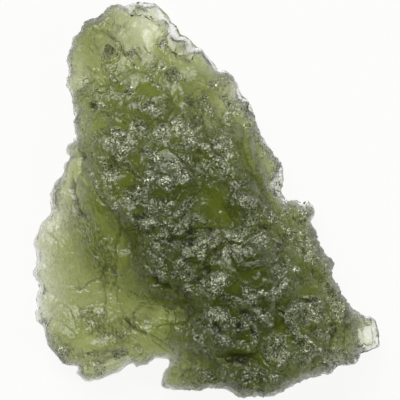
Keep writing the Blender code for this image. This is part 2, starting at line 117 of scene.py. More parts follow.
# Smooth windows in the etched skin: x, y, half length, half width, direction in degrees; and how
# squarish they are, how ragged, and how wide the rags
WINDOWS = [
    (0.5, -0.6, 2.3, 1.2, -57), (-9.2, 1.0, 2.5, 0.85, -63), (-5.3, 3.2, 0.65, 0.55, 50),
    (-6.5, 1.6, 0.9, 0.4, 10), (-5.8, -0.8, 0.7, 0.3, 5), (-3.0, 3.6, 0.9, 0.45, -5),
    (-3.8, 0.6, 0.4, 0.3, 0), (-8.5, 5.8, 0.8, 0.45, 0), (-7.0, 6.1, 1.3, 0.5, -5),
    (-2.3, 4.9, 0.6, 0.5, 0), (-2.4, 7.2, 0.8, 0.75, 90), (-5.3, 9.5, 2.0, 0.9, -35),
    (-8.7, 9.6, 0.8, 0.5, 0), (-2.1, 8.7, 1.0, 0.4, 10), (13.1, -10.8, 1.5, 0.9, -80),
    (0.7, 7.3, 1.1, 0.6, 85), (2.2, 5.4, 1.1, 0.45, 0), (3.2, 3.8, 1.2, 0.6, 80),
    (4.6, 2.6, 0.7, 0.5, 0), (-1.0, 10.6, 1.0, 0.8, 0), (-2.6, 11.3, 1.0, 0.5, 0),
    (3.8, -6.0, 1.4, 0.8, 5), (1.8, -5.4, 0.9, 0.4, -5), (2.4, -7.0, 0.6, 0.5, 0),
    (7.8, -7.3, 1.05, 0.5, -5), (7.4, -4.9, 0.8, 0.5, -30), (5.8, -10.3, 1.6, 0.42, -62),
    (8.1, -10.9, 1.4, 0.38, -48), (-9.6, -11.2, 0.9, 0.5, 12), (-3.2, -9.2, 1.4, 1.2, 0),
    (-4.6, 13.1, 1.6, 1.1, -50), (4.5, -12.9, 0.9, 0.35, -50),
]
WINDOW_FADE = (0.6, 1.2)
WINDOW_POWER = 2.8
WINDOW_RAG = 0.35
WINDOW_RAG_WIDTH = 0.5

# Frosted patches: x, y, radius, height (a cup is below 0, a mound above)
FROSTED = [
    (-7.8, 11.8, 0.45, -0.3), (-2.8, 9.8, 0.65, -0.2), (-3.4, 10.6, 0.35, -0.1),
    (-9.1, 7.4, 0.45, -0.4), (-8.5, 7.4, 0.5, 0.1), (-6.2, 8.7, 0.45, -0.1),
    (-4.6, 7.6, 0.55, -0.15), (-1.3, 7.8, 0.55, -0.25), (-0.9, 6.1, 0.6, -0.25),
    (-2.3, 5.9, 0.6, 0.1), (-3.9, 6.8, 0.45, 0.1), (-5.4, 5.8, 0.75, 0.15), (-3.5, 5.3, 0.8, 0.1),
    (-1.4, 5.0, 0.6, -0.15), (-7.1, 5.1, 0.6, 0.2), (-7.8, 4.6, 0.4, 0.1), (-6.4, 4.3, 0.6, -0.2),
    (-6.8, 3.6, 0.5, -0.15), (-7.5, 2.7, 0.8, -0.35), (-7.8, 1.7, 0.5, 0.15),
    (-5.7, 0.9, 0.35, 0.1), (-6.3, 0.4, 0.55, -0.25), (-4.0, 3.2, 0.6, 0.2),
    (-4.2, 2.5, 0.5, -0.15), (-2.2, 2.6, 0.6, 0.15), (-1.9, 1.7, 0.5, -0.15),
    (-3.2, 1.2, 0.5, 0.15), (-4.6, 1.6, 0.5, -0.1), (-1.6, 3.2, 0.5, -0.2), (-4.1, -0.6, 0.6, 0.25),
    (-3.2, -0.4, 0.6, 0.25), (-4.5, -2.0, 0.5, 0.15), (-2.2, -2.5, 0.5, 0.1),
    (-1.8, -0.7, 0.6, 0.2), (3.2, -0.2, 0.8, 0.25), (3.0, -1.3, 0.45, -0.15),
    (3.6, -1.4, 0.6, -0.2), (5.3, -1.5, 0.45, 0.25), (0.5, -3.2, 0.9, 0.3), (1.8, -3.0, 0.6, 0.2),
    (-0.5, -3.8, 0.6, 0.2), (2.4, -4.3, 0.7, 0.3), (1.6, -4.6, 0.45, 0.2), (4.2, -3.3, 0.6, 0.35),
    (-1.4, -4.4, 0.5, 0.2), (-0.4, -4.7, 0.4, 0.15), (-2.0, -5.2, 0.7, 0.2),
    (-3.6, -6.0, 0.45, 0.2), (-1.3, -6.1, 0.6, 0.15), (1.1, -6.4, 0.5, 0.2), (-1.6, -7.2, 0.5, 0.1),
    (5.8, -5.6, 0.5, 0.15), (7.1, -5.7, 0.35, 0.1), (3.6, -7.9, 0.5, 0.25), (4.4, -7.5, 0.4, 0.2),
    (5.4, -7.5, 0.6, 0.2), (8.2, -8.7, 1.1, 0.3), (7.0, -8.7, 0.6, 0.25), (0.9, -9.1, 0.6, 0.2),
    (5.5, -11.6, 1.05, 0.45), (3.8, -10.5, 0.45, 0.2), (2.6, -10.0, 0.5, 0.15),
    (1.6, -11.2, 0.5, 0.1), (8.2, -12.6, 0.8, 0.2), (6.2, -12.6, 0.6, 0.15),
    (10.2, -12.6, 0.7, 0.2), (11.4, -12.5, 0.5, 0.15), (3.4, -13.9, 0.6, 0.2),
    (5.6, -14.2, 0.5, 0.1), (9.9, -10.6, 0.6, 0.15), (-8.5, -13.6, 0.6, 0.2),
    (-11.6, -12.2, 0.5, 0.2), (-6.9, -12.6, 0.5, 0.15), (2.0, 8.1, 0.45, 0.15),
    (2.7, 7.4, 0.55, 0.15), (3.5, 5.8, 0.4, 0.15), (4.9, 3.7, 0.45, 0.15), (5.7, 2.8, 0.45, 0.15),
    (5.7, 1.5, 0.5, 0.1), (1.4, 4.2, 0.65, 0.15), (1.5, 3.4, 0.4, -0.1), (1.5, 2.2, 0.45, 0.2),
    (0.7, 9.2, 0.5, 0.15), (1.6, 9.5, 0.4, 0.1), (7.8, -1.0, 0.6, 0.15), (6.3, -0.7, 0.4, 0.15),
    (4.4, -3.3, 0.35, 0.25), (4.1, -2.9, 0.25, 0.25), (5.4, -5.7, 0.35, 0.15),
    (6.2, -5.5, 0.35, 0.15), (6.2, -6.7, 0.45, 0.15), (8.5, -4.7, 0.5, 0.15),
    (8.2, -3.6, 0.4, 0.15), (9.3, -5.8, 0.45, 0.15),
]
PATCH_FADE = (0.55, 1.25)
PATCH_SLOPE = (0.2, 1.2)

# Frosted ribs: half width, height, points
FROSTED_RIBS = [
    (0.34, 0.45, [(4.1, -8.8), (4.5, -9.4), (4.9, -9.95)]),
    (0.4, 0.4, [(6.3, -9.1), (6.7, -10.0), (7.1, -10.8)]),
    (0.22, 0.3, [(7.6, -10.9), (8.3, -11.4), (9.0, -12.0)]),
    (0.14, 0.2, [(2.2, -2.8), (2.9, -3.4)]),
    (0.2, 0.2, [(0.2, -5.9), (0.5, -6.6), (0.7, -7.2)]),
    (0.25, 0.2, [(5.0, -7.9), (5.1, -8.6)]),
    (0.5, 0.1, [(9.0, -4.2), (9.6, -5.8), (10.0, -7.4), (10.6, -8.6)]),
    (0.25, 0.15, [(3.2, 7.6), (3.5, 6.8), (3.9, 6.0)]),
    (0.22, 0.25, [(1.5, 6.3), (1.8, 7.0), (2.3, 7.3)]),
    (0.15, 0.2, [(-0.1, 8.2), (0.0, 7.2), (0.2, 6.4)]),
    (0.15, 0.2, [(4.5, 4.3), (4.4, 3.3)]),
    (0.25, 0.3, [(-1.0, 4.4), (0.0, 4.0), (0.8, 3.2), (1.2, 2.6)]),
    (0.12, 0.2, [(2.1, 1.8), (2.7, 0.9)]),
    (0.16, 0.2, [(5.7, -1.5), (6.2, -2.3), (6.8, -2.9)]),
    (0.14, 0.15, [(6.6, -2.3), (7.6, -2.9)]),
    (0.12, 0.15, [(5.1, -3.2), (5.9, -3.7)]),
    (0.3, 0.2, [(10.3, -12.0), (10.8, -12.8), (11.2, -13.3)]),
    (0.2, 0.2, [(10.9, -11.9), (11.4, -12.7), (11.8, -13.1)]),
    (0.12, 0.15, [
        (-9.3, 2.3), (-8.9, 1.9), (-8.4, 1.0), (-8.1, 0.4), (-7.9, 0.0), (-7.5, -0.5), (-7.1, -0.9)]),
    (0.14, 0.15, [(-7.7, 9.9), (-7.0, 9.3)]),
    (0.12, 0.1, [(-6.8, 12.3), (-6.3, 11.4), (-5.2, 10.5)]),
    (0.1, 0.1, [(-4.9, 9.9), (-4.1, 9.2), (-3.3, 8.6)]),
    (0.1, 0.12, [(3.0, -14.7), (3.3, -15.0), (4.5, -14.95), (5.3, -15.1)]),
]
RIB_FADE = (0.5, 1.3)

# Hollows, carved and darkened with painted shade: x, y, half length, half width, direction in
# degrees, depth
HOLLOWS = [
    (-10.0, 3.4, 0.5, 0.45, 60, 0.5), (-5.3, -1.4, 0.6, 0.3, 10, 0.3),
    (-4.8, -2.6, 0.6, 0.3, 0, 0.3), (-2.6, -3.1, 0.9, 0.35, 0, 0.35),
    (-1.2, -2.6, 0.8, 0.4, 20, 0.35), (0.6, -2.35, 1.2, 0.22, 0, 0.3),
    (-1.3, -4.75, 0.6, 0.12, 5, 0.2), (0.1, -5.6, 0.9, 0.35, -80, 0.3),
    (-3.3, -6.9, 0.7, 0.25, 0, 0.25), (2.7, -12.5, 1.8, 0.55, -3, 0.3),
    (4.2, -13.0, 0.9, 0.35, -50, 0.2), (3.6, -9.4, 0.5, 0.5, 0, 0.25),
    (4.1, -15.2, 1.3, 0.14, 0, 0.4), (11.1, -9.2, 0.5, 0.25, 80, 0.3),
    (4.6, -2.1, 0.9, 0.25, -10, 0.25), (2.9, -8.9, 0.6, 0.4, -20, 0.25),
    (8.2, -8.0, 0.8, 0.18, 0, 0.25), (-9.4, 7.5, 0.35, 0.15, 70, 0.3),
    (-2.1, 11.6, 0.4, 0.18, -20, 0.15), (9.8, -13.6, 0.4, 0.3, 0, 0.25),
    (7.0, -1.5, 0.4, 0.25, -30, 0.3), (7.6, -1.8, 0.4, 0.2, -30, 0.2),
    (6.3, -2.8, 0.4, 0.15, -50, 0.2), (-1.4, -3.3, 0.8, 0.45, 0, 0.4),
    (0.5, 4.5, 0.6, 0.15, -35, 0.2), (4.8, -9.2, 0.6, 0.2, -55, 0.35),
    (11.0, -10.6, 1.2, 0.18, -80, 0.3), (2.6, -10.0, 0.6, 0.3, -80, 0.3),
    (3.6, -10.5, 0.5, 0.3, -30, 0.3), (11.3, -10.1, 0.35, 0.3, 0, 0.25),
    (7.6, -10.3, 0.6, 0.2, -50, 0.25), (5.9, -8.9, 0.5, 0.2, -30, 0.25),
    (0.8, -10.2, 0.6, 0.35, -60, 0.3),
]
HOLLOW_FADE = (0.3, 1.2)
HOLLOW_SLOPE = (0.1, 1.2)

# Thin chips, nearly white: x, y, half length, half width, direction in degrees, depth
CHIPS = [
    (-2.75, 13.35, 0.6, 0.42, 70, 0.7), (-1.7, 12.35, 0.6, 0.26, -10, 0.7),
    (-2.3, 12.9, 0.55, 0.24, -20, 0.6), (7.9, -0.6, 0.6, 0.35, -10, 0.6),
    (-6.1, 15.2, 0.55, 0.28, 10, 0.4), (-4.4, 15.0, 1.0, 0.35, -10, 0.4),
    (3.5, 6.9, 0.6, 0.25, 110, 0.4),
]
CHIP_FADE = (0.9, 1.6)
CHIP_SLOPE = (0.5, 1.6)

# How thin the stone may get away from its rim, and the thickness over which the painted shade of
# dips sets in
LEAST_THICKNESS = 0.35
THIN_GLASS = (0.5, 1.8)

# Shallow basins and low rises: x, y, half length, half width, direction in degrees, height
SWELLS = [
    (-2.0, 12.8, 1.7, 1.1, -35, -0.7), (-5.0, 14.4, 2.0, 1.2, 10, -0.7),
    (-9.9, 10.0, 1.4, 1.0, 70, -0.7), (-9.1, 0.8, 2.0, 0.9, -63, 0.5),
    (-2.4, 10.8, 1.6, 1.1, -20, -0.7), (-5.4, 11.4, 1.8, 1.1, -45, -0.7),
    (2.0, 8.0, 1.6, 1.0, -55, -0.8), (5.9, 1.2, 1.3, 1.0, -60, -0.9),
    (-6.0, -3.0, 1.2, 1.0, -60, -0.8), (3.3, -5.0, 2.0, 1.6, 0, 0.9),
    (-3.2, -9.2, 1.6, 1.2, 0, -1.0), (-8.2, -13.1, 1.4, 0.7, 10, -0.6),
    (0.0, -13.3, 1.6, 0.8, -20, -0.7), (8.0, -13.2, 4.5, 0.8, 12, -0.6),
    (-3.0, 2.0, 1.6, 1.2, -30, 0.6), (13.6, -10.8, 1.1, 1.2, 0, -0.3),
    (-12.8, -7.6, 3.2, 1.2, 90, -0.3), (8.4, 0.2, 1.0, 0.8, 0, -0.4),
    (5.4, -12.0, 1.5, 1.0, -30, -0.4), (0.4, -0.5, 2.2, 1.3, -57, 0.5),
    (11.0, -12.6, 1.4, 0.9, 20, -0.5),
]

# The foot of the thick body's west side, and how far to each side of it the change reaches
WEST_FOOT = [
    (-10.9, 7.5), (-10.1, 3.9), (-9.1, 2.2), (-8.3, 0.8), (-7.7, -0.1), (-7.1, -1.0),
    (-6.3, -2.8), (-5.3, -4.5), (-4.5, -6.1), (-2.6, -7.6), (-1.4, -9.0), (-2.4, -15.0)]
FOOT_REACH = (-0.5, 0.6)

# How etched the skin is, from 0 (smooth) to 1 (frosted): the flange's share, what the thick
# body adds, and how much that varies, over patches this wide
FLANGE_ETCH = 0.22
BODY_ETCH = 0.4
ETCH_VARIES = 0.35
ETCH_PATCH = 1.8

# The upper end and the right side are calmer: the y, x and y between which that grows, how calm
# the right side is, and what calm takes off the flange's share and, as parts, off the other two
UPPER_END = (5.5, 10.0)
RIGHT_SIDE = (0.8, 2.6)
RIGHT_SIDE_FOOT = (-1.5, 1.0)
RIGHT_CALM = 0.6
FLANGE_CALM = 0.08
BODY_CALM = 0.75
PATCH_CALM = 0.3

# The etched margin of the thick body: its share, what the upper end takes off, how wide it is
MARGIN_ETCH = 0.9
MARGIN_CALM = 0.5
MARGIN_WIDTH = (0.5, 1.3)

# The rough band along the lower left rim: its share, how wide it is, points
BAND_ETCH = 0.6
BAND_WIDTH = (0.4, 1.1)
ROUGH_BAND = [
    (-13.2, -10.2), (-12.2, -11.8), (-10.6, -12.8), (-8.2, -12.9), (-6.0, -12.6), (-4.4, -12.4)]

# Rippled bands of the clear flange: half width, strength, points; and how etched they are
RIPPLED = [
    (1.0, 0.8, [(-10.2, -0.8), (-9.2, -2.6), (-8.3, -4.4), (-7.7, -6.0)]),
    (0.9, 0.75, [(-9.4, -9.4), (-8.2, -10.6), (-6.8, -10.6), (-6.0, -9.8)]),
    (1.0, 0.75, [(-3.6, -7.4), (-2.0, -8.2), (-0.8, -9.4)]),
    (0.5, 0.7, [(-12.4, -11.0), (-11.0, -12.2), (-9.0, -12.6), (-6.6, -12.2)]),
    (0.6, 0.7, [(-5.9, -2.4), (-5.6, -4.4), (-5.0, -6.0)]),
    (0.5, 0.45, [(-11.6, 2.4), (-11.8, 0.0), (-12.6, -1.6)]),
]
RIPPLED_FADE = (0.4, 1.3)
RIPPLED_ETCH = 0.45

# Cracks and fine cuts, carved and darkened with painted shade: depth, half width, points; from
# FULL_DEPTH down their painted shade is darkest
CRACKS = [
    (0.4, 0.14, [(-10.7, 2.1), (-10.7, 0.6), (-10.5, 0.0), (-10.3, -0.7), (-10.0, -1.4)]),
    (0.2, 0.08, [(-10.1, 3.0), (-9.95, 2.2)]),
    (0.25, 0.08, [(-5.3, -3.2), (-4.9, -4.6), (-4.3, -5.9)]),
    (0.14, 0.08, [(-7.1, -7.1), (-6.9, -8.4), (-6.6, -9.4)]),
    (0.4, 0.12, [(-6.3, -9.6), (-5.6, -10.3), (-4.9, -10.8)]),
    (0.28, 0.08, [(-4.5, -10.8), (-3.6, -11.4), (-2.8, -11.9)]),
    (0.24, 0.08, [(-4.4, -11.3), (-3.8, -11.7), (-3.1, -12.2)]),
    (0.22, 0.07, [
        (-3.4, 13.3), (-3.2, 12.9), (-2.7, 12.65), (-1.9, 12.7), (-1.2, 12.5), (-0.7, 12.2)]),
    (0.22, 0.07, [(-3.2, 12.1), (-2.6, 12.1), (-1.9, 12.1), (-1.3, 12.0), (-0.6, 12.1)]),
    (0.2, 0.07, [(-2.1, 13.1), (-1.7, 12.8), (-1.3, 12.7), (-1.0, 12.4)]),
    (0.12, 0.07, [(-3.6, 15.4), (-3.4, 14.8), (-3.3, 14.0)]),
    (0.15, 0.09, [(3.3, 5.8), (3.7, 4.8), (4.0, 4.2), (4.0, 3.0), (3.9, 2.0)]),
    (0.2, 0.1, [(7.9, -3.2), (7.8, -4.8), (8.3, -5.4), (8.7, -6.0), (9.3, -6.5), (9.9, -7.4)]),
    (0.15, 0.08, [(-5.5, 15.9), (-5.4, 15.3), (-5.6, 14.4)]),
    (0.25, 0.1, [(4.6, -8.8), (5.1, -9.6)]),
    (0.2, 0.07, [(4.2, -0.5), (4.9, -1.2), (5.5, -1.8)]),
    (0.2, 0.08, [(12.3, -9.4), (12.4, -10.8), (12.3, -12.2)]),
    (0.2, 0.09, [(-8.1, -5.9), (-8.5, -6.4), (-9.2, -6.7), (-9.95, -7.1), (-10.4, -7.0)]),
    (0.16, 0.08, [(-8.1, -6.4), (-8.1, -7.6), (-8.3, -8.6), (-8.0, -9.6)]),
    (0.18, 0.08, [(-3.5, -7.8), (-5.0, -8.4), (-5.7, -9.2)]),
    (0.14, 0.08, [(-8.1, 0.1), (-7.3, -0.9), (-7.0, -2.8), (-7.1, -4.2), (-7.2, -5.6)]),
    (0.14, 0.07, [(-6.1, -5.6), (-6.6, -5.9), (-7.2, -6.2), (-7.3, -6.8), (-6.8, -7.1)]),
    (0.12, 0.07, [(-12.6, -2.6), (-12.0, -3.2), (-11.8, -4.2), (-12.2, -5.0)]),
    (0.3, 0.12, [(-4.6, -6.2), (-3.8, -6.7), (-2.9, -6.9)]),
    (0.14, 0.07, [(-10.2, -8.6), (-9.8, -9.4), (-9.0, -9.8)]),
    (0.12, 0.07, [(-12.2, -9.6), (-11.2, -10.0), (-10.2, -11.2)]),
]
CRACK_FADE = (0.4, 1.6)
FULL_DEPTH = 0.30

# Ledges: height, reach, points; the stone stands higher on the left hand along the points, and
# the slope counts in reaches
LEDGES = [
    (0.1, 0.8, [(-8.1, -6.0), (-8.4, -6.4), (-9.2, -6.8), (-9.9, -7.1), (-10.6, -7.0)]),
    (0.08, 0.6, [(-7.9, 0.2), (-7.1, -1.0), (-6.9, -2.8), (-7.0, -4.2), (-7.2, -6.0), (-7.0, -7.6)]),
    (0.1, 0.6, [(-3.2, -7.5), (-3.8, -7.8), (-5.0, -8.4), (-5.7, -9.2), (-5.6, -9.9)]),
    (0.08, 0.5, [(-8.2, -6.2), (-8.1, -7.4), (-8.3, -8.6), (-8.0, -9.8)]),
    (0.1, 0.5, [(-12.8, -2.6), (-12.0, -3.2), (-11.8, -4.2), (-12.2, -5.0), (-12.9, -5.4)]),
    (0.07, 0.5, [(-11.6, -0.2), (-11.2, -1.2), (-11.6, -2.3), (-12.3, -2.6)]),
    (0.09, 0.6, [(-12.6, -8.6), (-11.6, -8.2), (-10.8, -8.8), (-10.5, -9.8)]),
    (0.08, 0.6, [(-6.1, -5.3), (-6.6, -5.8), (-7.3, -6.0)]),
    (0.12, 0.6, [(-10.9, -11.4), (-9.6, -11.0), (-8.4, -10.0), (-7.0, -9.6), (-6.2, -10.0)]),
    (0.12, 0.7, [(-9.9, -12.3), (-8.2, -12.0), (-6.8, -11.3), (-5.4, -11.6), (-4.2, -12.2)]),
    (0.2, 0.8, [(-9.6, 8.3), (-8.5, 9.5), (-8.3, 11.2), (-8.9, 12.6)]),
    (0.16, 0.9, [(-3.2, 8.7), (-4.4, 9.6), (-5.2, 10.6), (-6.2, 11.8), (-7.0, 12.9)]),
    (0.18, 0.4, [(-10.2, 12.4), (-9.0, 12.0), (-8.2, 11.0), (-7.8, 9.8)]),
    (0.15, 0.4, [(-9.8, 10.6), (-8.8, 10.2), (-8.0, 9.2)]),
    (0.18, 0.4, [(-8.4, 13.6), (-7.2, 13.2), (-6.2, 12.2)]),
    (0.15, 0.7, [(-1.0, 10.2), (-2.4, 11.1), (-3.9, 11.3), (-4.9, 12.2), (-5.2, 13.8)]),
    (0.14, 0.6, [(-0.3, 13.4), (-1.6, 13.2), (-2.5, 13.6), (-3.1, 14.6), (-4.2, 15.2)]),
    (0.1, 0.6, [(-7.6, 14.2), (-6.6, 13.9), (-5.8, 14.4), (-5.4, 15.4)]),
    (0.22, 0.7, [(0.6, 9.0), (-0.2, 8.0), (-0.3, 6.4), (0.4, 5.2), (1.4, 4.6)]),
    (0.22, 0.6, [(3.4, 6.0), (3.0, 4.6), (3.5, 3.0), (4.2, 1.4), (5.2, 0.2), (6.0, -1.4)]),
    (0.15, 0.6, [
        (6.7, 0.7), (6.5, -1.0), (7.0, -2.8), (8.2, -4.4), (8.8, -6.0), (9.9, -7.4), (10.7, -8.6)]),
    (0.15, 0.6, [(-2.1, 3.3), (-1.0, 2.2), (0.6, 1.6), (2.0, 0.9), (3.4, 0.6)]),
    (0.2, 0.6, [(3.0, -2.3), (1.2, -2.6), (-0.6, -2.5), (-2.2, -3.4), (-3.6, -3.4)]),
    (0.2, 0.6, [(3.2, -4.9), (1.2, -5.0), (-0.8, -5.2), (-2.6, -5.9), (-4.0, -6.6)]),
    (0.08, 0.6, [(6.2, -7.0), (5.2, -7.2), (4.0, -7.5), (2.6, -8.3), (1.4, -8.9), (0.4, -9.7)]),
    (0.2, 0.5, [(9.6, -8.2), (8.4, -8.1), (7.0, -8.4), (5.8, -8.5)]),
    (0.12, 0.5, [(4.8, -13.7), (3.6, -12.8), (2.2, -12.6), (1.0, -12.6)]),
    (0.2, 0.5, [(10.0, -9.0), (10.4, -10.4), (10.1, -11.8), (10.7, -13.2)]),
]
LEDGE_SLOPE = (1.0, 3.0)

# Soft folds: how wide and high, the y where they start to grow and are full, and what part of
# their height they have below it
FOLD_WIDTH = 2.0
FOLD_HEIGHT = 0.40
FOLDS_GROW = (4.0, 8.0)
LOWER_FOLDS = 0.4

# Terraces: how wide their pattern is, how many there are to a level of the noise, how deep, and
# the sizes they come in
TERRACE_WIDTH = 2.6
TERRACE_COUNT = 2.5
TERRACE_DEPTH = 0.11
TERRACE_SIZES = (1.0, 0.5)

# Creases between lumps: how wide the lumps are, how deep and wide the creases, and where on
# the etched skin they start and are full
CREASE_WIDTH = 1.4
CREASE_DEPTH = 0.13
CREASE_EDGE = (0.0, 0.28)
CREASED_ETCH = (0.1, 0.5)

# Pits of the top and of the back: how far apart and how deep, from the coarse to the fine, where
# their walls start and end, and the part that the back keeps where it isn't etched. The sand
# between them: how wide and deep
PITS = [(0.85, 0.12), (0.42, 0.06)]
BACK_PITS = [(1.6, 0.40), (0.8, 0.16)]
PIT_WALL = (0.05, 0.62)
SMOOTH_BACK = 0.15
SAND_WIDTH = 0.45
SAND_DEPTH = 0.05

# Flow lines: their directions in the north and in the south, the y between which one
# gives way to the other, how deep and how stretched they are, their widths and shares, and how
# much of them the etching takes away
FLOW_ANGLES = (-48, -80)
FLOW_TURNS = (0.0, 4.0)
FLOW_DEPTH = 0.045
FLOW_STRETCH = 6
FLOW_LINES = [(0.9, 1.0), (0.4, 0.5)]
FLOW_LOST = 0.6

# Terraces and flow lines: what the windows lose of them, and what the flange keeps
WINDOW_CALM = 0.8
FLANGE_RELIEF = 0.5

# Dips of the relief are darkened with painted shade: the rounds of smoothing that they are
# measured against, the depth of a full one, and how dark it is
DIP_ROUNDS = 25
DIP_DEPTH = 0.12
DIP_SHADE = 0.7

# Painted shadow in patches along the thick body's lower rim: how dark, how wide apart, where
# the noise starts and fills them, how far in they reach, and the y and x where they end
SHADOW_SHADE = 0.85
SHADOW_WIDTH = 0.7
SHADOW_NOISE = (-0.1, 0.3)
SHADOW_REACH = (0.2, 0.8)
SHADOW_NORTH = (-6.0, 4.0)
SHADOW_WEST = (-5.0, -2.0)

# Glass: the colour of a deep view, how fast it gets there, and its gloss where it is smooth
# and where it is etched
GLASS_TINT = (0.467, 0.524, 0.0, 1)
GLASS_DENSITY = 550.0
GLASS_IOR = 1.49
CLEAR_ROUGHNESS = 0.26
ETCHED_ROUGHNESS = 0.32

# Bumps too fine for the mesh: cells a millimetre of the noise and of the pits, how high both
# rise, how deep a height of 1 is, and the share of them that smooth glass keeps
BUMP_SCALE = 3.4
PIT_SCALE = 4.2
BUMP_RISE = 1.6
BUMP_DEPTH = 0.08
SMOOTH_BUMP = 0.03

# Grains of the etched ground: how wide, what part of a height counts, so that they are tall on
# walls, how far each is tilted, and the noise's levels where specks begin and the painted shade
# of the gaps between them ends
GRAIN_WIDTH = 0.095
GRAIN_SQUEEZE = 0.5
GRAIN_TILT = 1.1
SPECK_EDGE = (0.54, 0.64)
GAP_EDGE = (0.38, 0.49)

# Where the ground is: cells a millimetre of its patches, the edge of a patch, what the frosted
# patches, the noise's patches and the etching in between give, and where ground begins
GROUND_SCALE = 0.9
GROUND_EDGE = (0.38, 0.62)
GROUND_IN_FROST = 0.5
GROUND_IN_PATCHES = 0.5
GROUND_BETWEEN = 0.15
GROUND_BEGINS = (0.14, 0.50)

# Small ridges gather the specks: their cells a millimetre, edge, and share of the specks
RIDGE_SCALE = 2.3
RIDGE_EDGE = (0.42, 0.60)
RIDGE_SPECKS = 0.55

# Frost: its colour and roughness, how strong it is on the ground and in the frosted patches,
# the part of the latter that is specks, how far the skin faces up where walls turn to level
# ground, and what the walls keep of it
FROST_COLOUR = (0.88, 0.92, 0.66, 1)
FROST_ROUGHNESS = 0.6
SKIN_SHARE = 0.62
FROST_SHARE = 0.46
FROST_SPECKS = 0.88
WALL_TURN = (0.10, 0.65)
WALL_FROST = 0.15

# Painted shade, how dark it gets: the etching over which gaps appear, the gaps in any etched skin
# and more on the ground, the valleys between ridges, and the hollows, cracks, dips and rim patches
GAPPED_ETCH = (0.0, 0.3)
GAP_SHADE = 0.22
GROUND_GAP_SHADE = 0.68
VALLEY_SHADE = 0.38
HOLLOW_SHADE = 0.9

# Fine ripples of the clearer skin: direction in degrees, stretch, cells a millimetre, edge, how
# dark in any skin and more in the rippled bands, the etching over which they appear, and what
# a full etching hides of them
RIPPLE_ANGLE = -65
RIPPLE_LENGTH = 2.4
RIPPLE_SCALE = 6.0
RIPPLE_EDGE = (0.38, 0.62)
RIPPLE_SHADE = 0.24
RIPPLED_SHADE = 0.70
RIPPLE_STARTS = (0.0, 0.2)
ETCH_HIDES = 0.7

# Light table: how far it reaches in metres, how far it lies under the stone, its glow, and its
# own colour and roughness
TABLE_HALF = 0.6
TABLE_GAP = 0.02
TABLE_GLOW = 0.92
GLOW_COLOUR = (1.0, 1.0, 0.985, 1)
TABLE_COLOUR = (0.055, 0.055, 0.054, 1)
TABLE_ROUGHNESS = 0.9

# Soft lamps round the stone: how far away in metres, and then name, azimuth and elevation in
# degrees, width in metres, watts
LAMP_DISTANCE = 0.5
LAMPS = [
    ("north lamp", 110, 50, 0.15, 0.5),
    ("east lamp", -10, 45, 0.15, 0.7),
]

# Room: pale walls low down and a dim ceiling, and the height where one gives way to the other
WALL_LIGHT = 0.40
CEILING_LIGHT = 0.05
WALL_FADE = (0.10, 0.55)

# A bright window in the room: azimuth and elevation in degrees, its light, and the angles
# from its middle at which it starts to fade and is gone
SKYLIGHT_WAY = (115, 28)
SKYLIGHT = 4.8
SKYLIGHT_FADE = (8, 46)


def smoothstep(low, high, value):
    """0 below LOW, 1 above HIGH, and smooth between."""
    t = np.clip((value - low) / (high - low), 0, 1)
    return t * t * (3 - 2 * t)


def fade(reach, distance):
    """1 up to the first distance of REACH, 0 from the second on, and smooth between."""
    return 1 - smoothstep(*reach, distance)


def blend(low, share):
    """LOW where SHARE is 0, and 1 where it is 1."""
    return low + (1 - low) * share


def beside_path(points, path):
    """For each point: distance to the path, and 1 on its left hand or -1 on its right."""
    path = np.array(path, float)
    step = np.diff(path, axis=0)
    best = np.full(len(points), np.inf)
    side = np.ones(len(points))
    for start, run in zip(path[:-1], step):
        offset = points[:, :2] - start
        along = np.clip(offset @ run / (run @ run), 0, 1)
        gap = np.hypot(*(offset - along[:, None] * run).T)
        nearer = gap < best
        cross = run[0] * offset[:, 1] - run[1] * offset[:, 0]
        best = np.where(nearer, gap, best)
        side = np.where(nearer, np.where(cross > 0, 1, -1), side)
    return best, side


def off_path(points, half_width, path):
    """Distance from a path: 1 at its half width."""
    return beside_path(points, path)[0] / half_width


def oval(points, x, y, half_length, half_width, degrees, power=2.0):
    """Distance from an oval's centre: 1 on its edge. A higher power makes it squarish."""
    turn = np.radians(degrees)
    dx, dy = points[:, 0] - x, points[:, 1] - y
    along = (dx * np.cos(turn) + dy * np.sin(turn)) / half_length
    across = (dy * np.cos(turn) - dx * np.sin(turn)) / half_width
    return (np.abs(along) ** power + np.abs(across) ** power) ** (1 / power)


def inside(points, ring):
    """Which points lie inside the closed ring, tested in slices to spare memory."""
    x0, y0 = ring.T
    x1, y1 = np.roll(ring, -1, 0).T
    rise = np.where(y1 == y0, 1, y1 - y0)
    found = []
    for part in np.array_split(points, max(len(points) // SLICE, 1)):
        x, y = part[:, :1], part[:, 1:2]
        crosses = ((y0 > y) != (y1 > y)) & (x < (x1 - x0) * (y - y0) / rise + x0)
        found.append(crosses.sum(1) % 2 == 1)
    return np.concatenate(found)


def inward_of(ring):
    """At each rim point, the way into the stone."""
    ahead = np.roll(ring, -1, 0) - np.roll(ring, 1, 0)
    inward = np.column_stack([-ahead[:, 1], ahead[:, 0]])
    return inward / np.hypot(*inward.T)[:, None]


def from_rim(points, ring, depth=0.0):
    """Each point's distance from the rim, and the point moved to at least DEPTH inside it."""
    tree = BVHTree.FromPolygons(
        [(*p, 0) for p in ring] + [(*p, 0) for p in ring],
        [(k, (k + 1) % len(ring), len(ring) + k) for k in range(len(ring))], all_triangles=True)
    inward = inward_of(ring)
    distances = np.zeros(len(points))
    moved = np.array(points)
    for k, point in enumerate(points):
        foot, _, nearest, distances[k] = tree.find_nearest((*point, 0))
        if distances[k] < depth:
            way = inward[nearest]
            if distances[k] > ON_THE_RIM:
                way = (point - foot.xy) / distances[k]
            moved[k] = np.array(foot.xy) + way * depth
    return distances, moved


